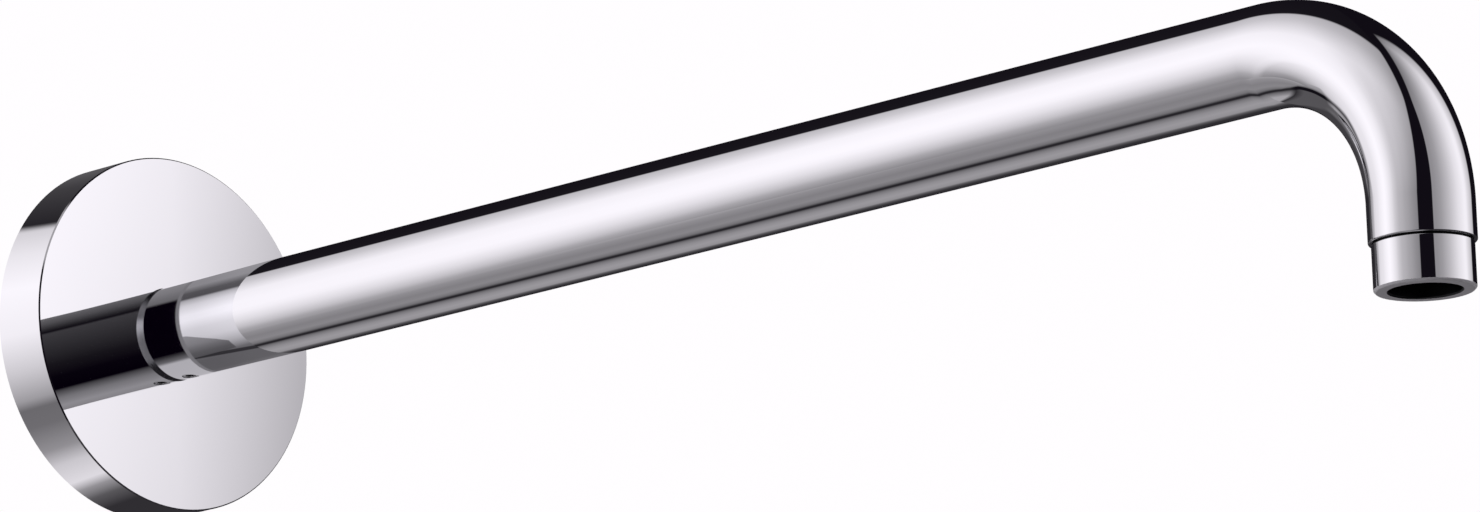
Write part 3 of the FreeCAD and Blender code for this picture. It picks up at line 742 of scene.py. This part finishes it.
def outline(name, corners):
    """a chain of edges in the XZ plane through corners, each an (x, z) in mm, drawn by extruding one point"""
    deselect()
    bpy.ops.mesh.primitive_plane_add(size=MM, location=(corners[0][0] * MM, 0, corners[0][1] * MM))
    piece = bpy.context.object
    piece.name = piece.data.name = name
    bpy.ops.object.transform_apply(location=True, rotation=False, scale=False)
    bpy.ops.object.mode_set(mode="EDIT")
    bpy.ops.mesh.select_mode(type="VERT")
    bpy.ops.mesh.merge(type="CENTER")
    for (x0, z0), (x1, z1) in zip(corners, corners[1:]):
        step = ((x1 - x0) * MM, 0, (z1 - z0) * MM)
        bpy.ops.mesh.extrude_region_move(TRANSFORM_OT_translate={"value": step})
    bpy.ops.object.mode_set(mode="OBJECT")
    return piece


def turned(name, corners, axis="X", centre=0, closed=True):
    """an outline spun about X, or about the upright line through x = centre (mm); one that starts and ends on the
    axis is left open there"""
    piece = outline(name, list(corners) + [corners[0]] * closed)
    bpy.ops.object.mode_set(mode="EDIT")
    bpy.ops.mesh.select_all(action="SELECT")
    line = (1, 0, 0) if axis == "X" else (0, 0, 1)
    bpy.ops.mesh.spin(steps=TURN_STEPS, angle=2 * pi, center=(centre * MM, 0, 0), axis=line)
    bpy.ops.object.mode_set(mode="OBJECT")
    clean_up(piece)
    return piece


print("lathe with", TURN_STEPS, "steps a turn")

# %% [markdown]
# ## Edges and places
# No real edge is perfectly sharp: even a fine one has a small rounding that catches the light. Bevel in edit mode
# rounds the edges that are picked. The Bevel modifier finds all that are sharper than an angle, and the Weighted Normal
# modifier then keeps the large faces true in the mirror. A finished piece gets its material, rides on the root body and
# stands for its CAD node.

# %% Edges and places
SHARP_FROM, SHARP_FROM_FINE = 35, 28    # degrees, the second for threads and keys


def soften(piece, width=0, segments=2, angle=25):
    """a small rounding of every sharp edge, and smooth shading that leaves the large faces true"""
    pick(piece)
    if width:
        rounding = piece.modifiers.new("rounding", "BEVEL")
        rounding.width = width * MM
        rounding.segments = segments
        rounding.limit_method = "ANGLE"
        rounding.angle_limit = radians(angle)
        bpy.ops.object.modifier_apply(modifier="rounding")
    bpy.ops.object.shade_smooth_by_angle(angle=radians(SHARP_FROM))
    weights = piece.modifiers.new("weights", "WEIGHTED_NORMAL")
    weights.weight = 100
    weights.keep_sharp = True
    bpy.ops.object.modifier_apply(modifier="weights")


def finish(piece, material, node):
    """dresses the piece and puts it in the place of its CAD node"""
    piece.data.materials.clear()
    piece.data.materials.append(material)
    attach(piece, "root")
    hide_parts(node)


print("edges sharper than", SHARP_FROM, "degrees stay sharp")

# %% [markdown]
# ## Outlet nipple
# The collar under the tube is the end of a brass nipple brazed into it. Its outside is plain and polished, set in a
# little from the tube, and a narrow groove turned above it, painted nearly black as painted shade, makes the dark line
# of the seam. The photo looks up into its mouth: a flat ring-shaped end with a fine chamfer on both sides, and a bore
# with a step in it, painted dark as painted shade.

# %% Outlet nipple
OUTLET_X = 389
TUBE_BORE_R = 9.6
COLLAR_R = 10.48
SEAM_Z, COLLAR_END_Z = -46, -56

outlet = turned("outlet_collar", [(OUTLET_X + r, z) for r, z in (
    (7.25, SEAM_Z + 7.5), (TUBE_BORE_R, SEAM_Z + 7.5), (TUBE_BORE_R, SEAM_Z), (9.95, SEAM_Z), (9.95, SEAM_Z - 0.4),
    (COLLAR_R - 0.1, SEAM_Z - 0.4), (COLLAR_R, SEAM_Z - 0.5), (COLLAR_R, COLLAR_END_Z + 0.45),
    (COLLAR_R - 0.45, COLLAR_END_Z), (7.8, COLLAR_END_Z), (7.5, COLLAR_END_Z + 0.3),
    (7.5, COLLAR_END_Z + 8), (6.25, COLLAR_END_Z + 8), (6.25, SEAM_Z + 6.5),
)], axis="Z", centre=OUTLET_X)
soften(outlet, 0.08)

# %% [markdown]
# ## Threaded nipple
# What holds the arm to the wall is a brass nipple with a G 1/2 thread. The thread's V runs round it as one long helix,
# 14 turns to the inch. The Screw modifier winds one tooth round the axis, one pitch further with each turn. A stack of
# rings would look alike from afar, but its grooves would close on themselves. The thread's start is then turned down
# to a cone and its end to a plain neck, and what is past them is cut off.

# %% Thread
PITCH = 25.4 / 14
CREST_R, ROOT_R = 10.4775, 9.32
THREAD_START, NECK_START = -16, 1.2
NECK_CUT = NECK_START + 0.9
THREAD_STEPS = 96

tooth = [(0, ROOT_R), (0.14, ROOT_R), (0.31, ROOT_R + 0.17), (0.77, CREST_R - 0.14), (0.91, CREST_R),
         (1.04, CREST_R), (1.18, CREST_R - 0.14), (1.643, ROOT_R + 0.17), (PITCH, ROOT_R)]
nipple = outline("threaded_nipple", [(THREAD_START - 1.5 * PITCH + x, r) for x, r in tooth])
winding = nipple.modifiers.new("winding", "SCREW")
winding.axis = "X"
winding.screw_offset = PITCH * MM
winding.iterations = 13
winding.steps = winding.render_steps = THREAD_STEPS
winding.use_merge_vertices = True
bpy.ops.object.modifier_apply(modifier="winding")


def blank_radius(x):
    """the radius that the bar was turned to before the thread was cut"""
    lead = ROOT_R - 0.05 + max(0, x - THREAD_START)
    neck = ROOT_R + max(0, (NECK_START - x) * 1.5)
    return min(CREST_R, lead, neck)


for vertex in nipple.data.vertices:
    x, radius = vertex.co.x / MM, (vertex.co.y ** 2 + vertex.co.z ** 2) ** 0.5 / MM
    keep = min(1, blank_radius(x) / radius)
    vertex.co.y *= keep
    vertex.co.z *= keep

bpy.ops.object.mode_set(mode="EDIT")
bpy.ops.mesh.select_all(action="SELECT")
bpy.ops.mesh.remove_doubles(threshold=MERGE_WITHIN)
for place, side in ((THREAD_START, {"clear_inner": True}), (NECK_CUT, {"clear_outer": True})):
    bpy.ops.mesh.select_all(action="SELECT")
    bpy.ops.mesh.bisect(plane_co=(place * MM, 0, 0), plane_no=(1, 0, 0), threshold=1e-7, **side)
bpy.ops.object.mode_set(mode="OBJECT")
report(nipple)

# %% [markdown]
# ## Growing an open end
# A pipe or a turned end can be drawn out of its own open edge: the edge is selected, extruded along the axis, and
# resized where the radius changes. By hand that is two strokes for every step. A helper takes a list of steps, and it
# finds the open edge by its place and by the one face that each of its edges has.

# %% Growing an open end
def select_none(piece):
    """nothing selected in the piece's mesh"""
    for group in (piece.data.polygons, piece.data.edges, piece.data.vertices):
        group.foreach_set("select", [False] * len(group))


def open_end(piece, x):
    """selects the open edge that lies at x (mm), makes it truly round, and gives its radius"""
    bpy.ops.object.mode_set(mode="OBJECT")
    select_none(piece)
    rim = set()
    for edge, n in zip(piece.data.edges, edge_uses(piece)):
        at_x = all(abs(piece.data.vertices[v].co.x / MM - x) < 0.01 for v in edge.vertices)
        edge.select = n < 2 and at_x
        if edge.select:
            rim.update(edge.vertices)
    points = [piece.data.vertices[v].co for v in rim]
    radius = sum((p.y ** 2 + p.z ** 2) ** 0.5 for p in points) / len(points)
    for p in points:
        share = radius / (p.y ** 2 + p.z ** 2) ** 0.5
        p.x, p.y, p.z = x * MM, p.y * share, p.z * share
    bpy.ops.object.mode_set(mode="EDIT")
    bpy.ops.mesh.select_mode(type="EDGE")
    return radius / MM


def grow(piece, x, steps):
    """extrudes the open end at x through steps, each an (x, radius) in mm"""
    radius = open_end(piece, x)
    for next_x, next_radius in steps:
        bpy.ops.mesh.extrude_edges_move(TRANSFORM_OT_translate={"value": ((next_x - x) * MM, 0, 0)})
        if abs(next_radius - radius) > 0.001:
            share = next_radius / radius
            bpy.ops.transform.resize(value=(1, share, share), constraint_axis=(False, True, True),
                                     center_override=(0, 0, 0))
        x, radius = next_x, next_radius


print("helpers for an open end:", open_end.__name__, grow.__name__)

# %% [markdown]
# ## Nipple's body
# Past the neck the nipple has a flange that holds the plate, and a spigot that slides into the arm, with a broad
# groove for the locking screw and two narrow ones for rubber rings. It could be a second piece pushed against the
# thread, but the real one is one bar. So the open end of the thread is made round and extruded from step to step.

# %% Nipple's body
FLANGE_X, SPIGOT_R, TIP_X = 3, 8.2, 34

grow(nipple, NECK_CUT, [
    (FLANGE_X, ROOT_R), (FLANGE_X, 13.2), (FLANGE_X + 0.3, 13.5), (6.7, 13.5), (7, 13.2), (7, SPIGOT_R),
    (16.7, SPIGOT_R), (16.7, 7), (21.3, 7), (21.3, SPIGOT_R),
    (23.3, SPIGOT_R), (23.3, 6.85), (25.7, 6.85), (25.7, SPIGOT_R),
    (28.8, SPIGOT_R), (28.8, 6.85), (31.2, 6.85), (31.2, SPIGOT_R),
    (TIP_X - 0.8, SPIGOT_R), (TIP_X, SPIGOT_R - 0.8), (TIP_X, 6.2),
])
print("nipple grown to its tip at", TIP_X, "mm")

# %% [markdown]
# ## Key socket
# The nipple is screwed into the wall with a hexagon key, put in from the front, so its bore starts with a six-sided
# socket. The open end is moved onto a hexagon, pushed in to the socket's depth, brought back to a circle and taken
# through to the thread's start, where the two open ends are bridged. A Boolean would cut the same hole, but it leaves
# long thin faces on a turned shape.

# %% Key socket
BORE_R, KEY_FLATS, KEY_DEPTH, MOUTH_CHAMFER = 4.25, 10, 9, 0.4


def reshape(piece, radius_at, centre=0):
    """moves the selected points onto a new outline round X, or round the upright line through x = centre (mm)"""
    bpy.ops.object.mode_set(mode="OBJECT")
    for vertex in piece.data.vertices:
        if vertex.select:
            if centre:
                angle = atan2(vertex.co.y, vertex.co.x - centre * MM)
                vertex.co.x = (centre + radius_at(angle) * cos(angle)) * MM
                vertex.co.y = radius_at(angle) * sin(angle) * MM
            else:
                angle = atan2(vertex.co.z, vertex.co.y)
                vertex.co.y = radius_at(angle) * cos(angle) * MM
                vertex.co.z = radius_at(angle) * sin(angle) * MM
    bpy.ops.object.mode_set(mode="EDIT")


def hexagon(flats):
    """the radius of a hexagon at an angle, from its size across flats"""
    return lambda angle: flats / 2 / cos((angle % (pi / 3)) - pi / 6)


def push(distance):
    """extrudes the selected edges along X; by 0, for new points that are moved afterwards"""
    bpy.ops.mesh.extrude_edges_move(TRANSFORM_OT_translate={"value": (distance * MM, 0, 0)})


def select_open_edges():
    bpy.ops.mesh.select_all(action="DESELECT")
    bpy.ops.mesh.select_non_manifold(extend=False, use_wire=False, use_multi_face=False, use_non_contiguous=False,
                                     use_verts=False)


push(0)
reshape(nipple, hexagon(KEY_FLATS))
push(-KEY_DEPTH)
push(0)
reshape(nipple, lambda angle: BORE_R)
push(THREAD_START + MOUTH_CHAMFER - (TIP_X - KEY_DEPTH))
grow(nipple, THREAD_START, [(THREAD_START, BORE_R + MOUTH_CHAMFER)])
select_open_edges()
bpy.ops.mesh.bridge_edge_loops()
clean_up(nipple)
bpy.ops.object.shade_smooth_by_angle(angle=radians(SHARP_FROM_FINE))

# %% [markdown]
# ## Bent tube
# The arm is a brass tube, bent cold round a former over a mandrel, so its section stays round. It is made the same way
# here: one ring of points is taken along the straight, swung round the bend's centre and taken down the leg, turned
# in to the bore at the end, and brought back inside by the same road. A curve with a round bevel would follow the
# same road, but its ends would still have to be closed and turned in.

# %% Bent tube
TUBE_R, BEND_R, TUBE_STEPS, BEND_STEPS = 11.1, 38, 192, 96
TUBE_START, BEND_X = 14, OUTLET_X - BEND_R
WALL_BEVEL, TURNED_IN = 1.2, 0.3
SCREW_X = 19
STRAIGHTS = [TUBE_START + WALL_BEVEL, *range(SCREW_X - 3, SCREW_X + 4), BEND_X]
bend_centre = (BEND_X * MM, 0, -BEND_R * MM)


def grow_down(z, radius, steps):
    """extrudes the open end at z (mm) of the leg through steps, each a (z, radius)"""
    for next_z, next_radius in steps:
        bpy.ops.mesh.extrude_edges_move(TRANSFORM_OT_translate={"value": (0, 0, (next_z - z) * MM)})
        if abs(next_radius - radius) > 0.001:
            share = next_radius / radius
            bpy.ops.transform.resize(value=(share, share, 1), constraint_axis=(True, True, False),
                                     center_override=(OUTLET_X * MM, 0, 0))
        z, radius = next_z, next_radius


deselect()
bpy.ops.mesh.primitive_circle_add(vertices=TUBE_STEPS, radius=TUBE_BORE_R * MM, rotation=(0, pi / 2, 0),
                                  location=(TUBE_START * MM, 0, 0))
tube = bpy.context.object
tube.name = tube.data.name = "bent_tube"
bpy.ops.object.transform_apply(location=True, rotation=True, scale=False)
grow(tube, TUBE_START, [(TUBE_START, TUBE_R - WALL_BEVEL)] + [(x, TUBE_R) for x in STRAIGHTS])
bpy.ops.mesh.spin(steps=BEND_STEPS, angle=-pi / 2, center=bend_centre, axis=(0, 1, 0))
turn_in = [(SEAM_Z + TURNED_IN * (1 - sin(radians(a))), TUBE_R - TURNED_IN * (1 - cos(radians(a))))
           for a in range(0, 91, 15)]
grow_down(-BEND_R, TUBE_R, turn_in + [(SEAM_Z, TUBE_BORE_R), (-BEND_R, TUBE_BORE_R)])
bpy.ops.mesh.spin(steps=BEND_STEPS, angle=pi / 2, center=bend_centre, axis=(0, 1, 0))
grow(tube, BEND_X, [(x, TUBE_BORE_R) for x in STRAIGHTS[-2::-1]] + [(TUBE_START, TUBE_BORE_R)])
clean_up(tube)

# %% [markdown]
# ## Screw hole
# A hole for the locking screw goes up through the tube's wall, near the plate. On the outside and on the inside the
# faces round that place are taken away, and the edge they leave is extruded inwards, ring by ring, onto the hole's
# circle. The two circles are then bridged. A Boolean would cut the same hole, but the long thin faces that it leaves
# show as dents in a mirror.

# %% Screw hole
HOLE_R, HOLE_HALF = 2, 15               # mm, and degrees round the tube
WINDOW_HALF = 3


def open_window(radius):
    """takes away the faces of one wall round the hole, and moves the edge they leave onto the hole's circle"""
    bpy.ops.object.mode_set(mode="OBJECT")
    select_none(tube)
    for face in tube.data.polygons:
        x, y, z = (side / MM for side in face.center)
        around = abs(degrees(atan2(y, -z)))
        face.select = abs(x - SCREW_X) < WINDOW_HALF and around < HOLE_HALF and abs(y * y + z * z - radius ** 2) < 1
    gone = sum(face.select for face in tube.data.polygons)
    bpy.ops.object.mode_set(mode="EDIT")
    bpy.ops.mesh.select_mode(type="FACE")
    bpy.ops.mesh.delete(type="FACE")
    bpy.ops.mesh.select_mode(type="EDGE")
    select_open_edges()
    bpy.ops.object.mode_set(mode="OBJECT")
    # the other wall's window may be open as well
    for vertex in tube.data.vertices:
        vertex.select = vertex.select and abs(vertex.co.y ** 2 + vertex.co.z ** 2 - (radius * MM) ** 2) < 1e-6
    for edge in tube.data.edges:
        edge.select = edge.select and all(tube.data.vertices[v].select for v in edge.vertices)
    # two rings on the way in keep the wall's roundness close to the hole
    for reach in (HOLE_R + 0.6, HOLE_R + 0.3, HOLE_R):
        bpy.ops.object.mode_set(mode="EDIT")
        push(0)
        bpy.ops.object.mode_set(mode="OBJECT")
        for vertex in tube.data.vertices:
            if vertex.select:
                angle = atan2(vertex.co.y, vertex.co.x - SCREW_X * MM)
                vertex.co.x = (SCREW_X + reach * cos(angle)) * MM
                vertex.co.y = reach * sin(angle) * MM
                vertex.co.z = -(radius ** 2 - (reach * sin(angle)) ** 2) ** 0.5 * MM
    return gone


gone = open_window(TUBE_R), open_window(TUBE_BORE_R)
bpy.ops.object.mode_set(mode="EDIT")
select_open_edges()
bpy.ops.mesh.bridge_edge_loops()
print("faces taken out of the two walls:", gone)
clean_up(tube)
soften(tube)

# %% [markdown]
# ## Sealing rings
# Two rubber rings sit in the spigot's grooves and keep the water in. They are moulded round and are squeezed between
# the groove's floor and the sleeve, so each is a little flat inside and outside. A torus would be round all over, so
# a circle with a level top and bottom is spun. The second ring is a copy of the first, with its own mesh.

# %% Sealing rings
RING_FLOOR_R, SLEEVE_BORE_R, RING_SECTION = 6.85, 8.3, 1.8
REAR_RING_X, RING_GAP, SECTION_SIDES = 24.5, 5.5, 24
ring_middle = (RING_FLOOR_R + SLEEVE_BORE_R) / 2
squeezed = (SLEEVE_BORE_R - RING_FLOOR_R) / 2

section = []
for k in range(SECTION_SIDES):
    angle = 2 * pi * k / SECTION_SIDES
    rise = max(-squeezed, min(squeezed, RING_SECTION / 2 * sin(angle)))
    section.append((REAR_RING_X + RING_SECTION / 2 * cos(angle), ring_middle + rise))
rear_ring = turned("rear_sealing_ring", section)
bpy.ops.object.shade_smooth()
pick(rear_ring)
bpy.ops.object.duplicate(linked=False)
front_ring = bpy.context.object
front_ring.name = front_ring.data.name = "front_sealing_ring"
front_ring.location.x = RING_GAP * MM
bpy.ops.object.transform_apply(location=True, rotation=False, scale=False)
report(front_ring)

# %% [markdown]
# ## Wall gasket
# A soft ring in the back of the plate keeps splashes out of the wall. It is moulded, with rounded edges and two fine
# grooves on the wall side, which leave three lips that give way against the tiles. A bump could draw the grooves,
# but they show at the edge, so they are in the outline that is spun.

# %% Wall gasket
gasket = turned("wall_gasket", [
    (0, 35.9), (0, 36.5), (0.55, 36.75), (0.55, 36.95), (0, 37.2), (0, 37.8), (0.55, 38.05), (0.55, 38.25),
    (0, 38.5), (0, 39.1), (0.4, 39.5), (3, 39.5), (3, 35.9), (2.6, 35.5), (0.4, 35.5),
])
soften(gasket, 0.12, segments=3)

# %% [markdown]
# ## Grub screw
# Under the arm, close to the plate, a small screw with no head locks the arm to the nipple. It is level with the
# mouth of its hole, so all that shows is its end, with a hexagon for a 2 mm key. It is turned as a round plug with a
# round hole, and the hole's wall is then moved onto the hexagon. Its thread is inside the tube's wall, where nothing
# shows of it, and is left out.

# %% Grub screw
GRUB_KEY = 2
grub = turned("grub_screw", [(SCREW_X + r, z) for r, z in (
    (0, -9), (1, -9), (1, -10.75), (1.25, -10.9), (1.8, -10.9), (2, -10.7), (2, -7.8), (1.2, -7), (0, -7),
)], axis="Z", centre=SCREW_X, closed=False)
for vertex in grub.data.vertices:
    radius = ((vertex.co.x / MM - SCREW_X) ** 2 + (vertex.co.y / MM) ** 2) ** 0.5
    vertex.select = abs(radius - GRUB_KEY / 2) < 0.01
reshape(grub, hexagon(GRUB_KEY), centre=SCREW_X)
bpy.ops.object.mode_set(mode="OBJECT")
bpy.ops.object.shade_smooth_by_angle(angle=radians(SHARP_FROM_FINE))
report(grub)

# %% [markdown]
# ## Dress the arm
# Each new piece takes the place of its CAD node, so nothing shows twice. The plate and the sleeve have the right
# shape already and stay, with a finish in their slots.

# %% Dress the arm
finish(tube, chrome, "arm_tube")
finish(outlet, chrome, "outlet_nipple")
finish(nipple, brass, "wall_nipple")
finish(rear_ring, ring_rubber, "rear_ring")
finish(front_ring, ring_rubber, "front_ring")
finish(gasket, seal_rubber, "wall_seal")
finish(grub, steel, "set_screw")
for name, material in (("cover_plate", chrome), ("arm_sleeve", brass)):
    nodes[name].data.materials.clear()
    nodes[name].data.materials.append(material)
    print(name, "keeps its CAD mesh, in", material.name)

# %% [markdown]
# ## Last update
# The view layer is brought up to date once more.

# %% Last update
bpy.context.view_layer.update()
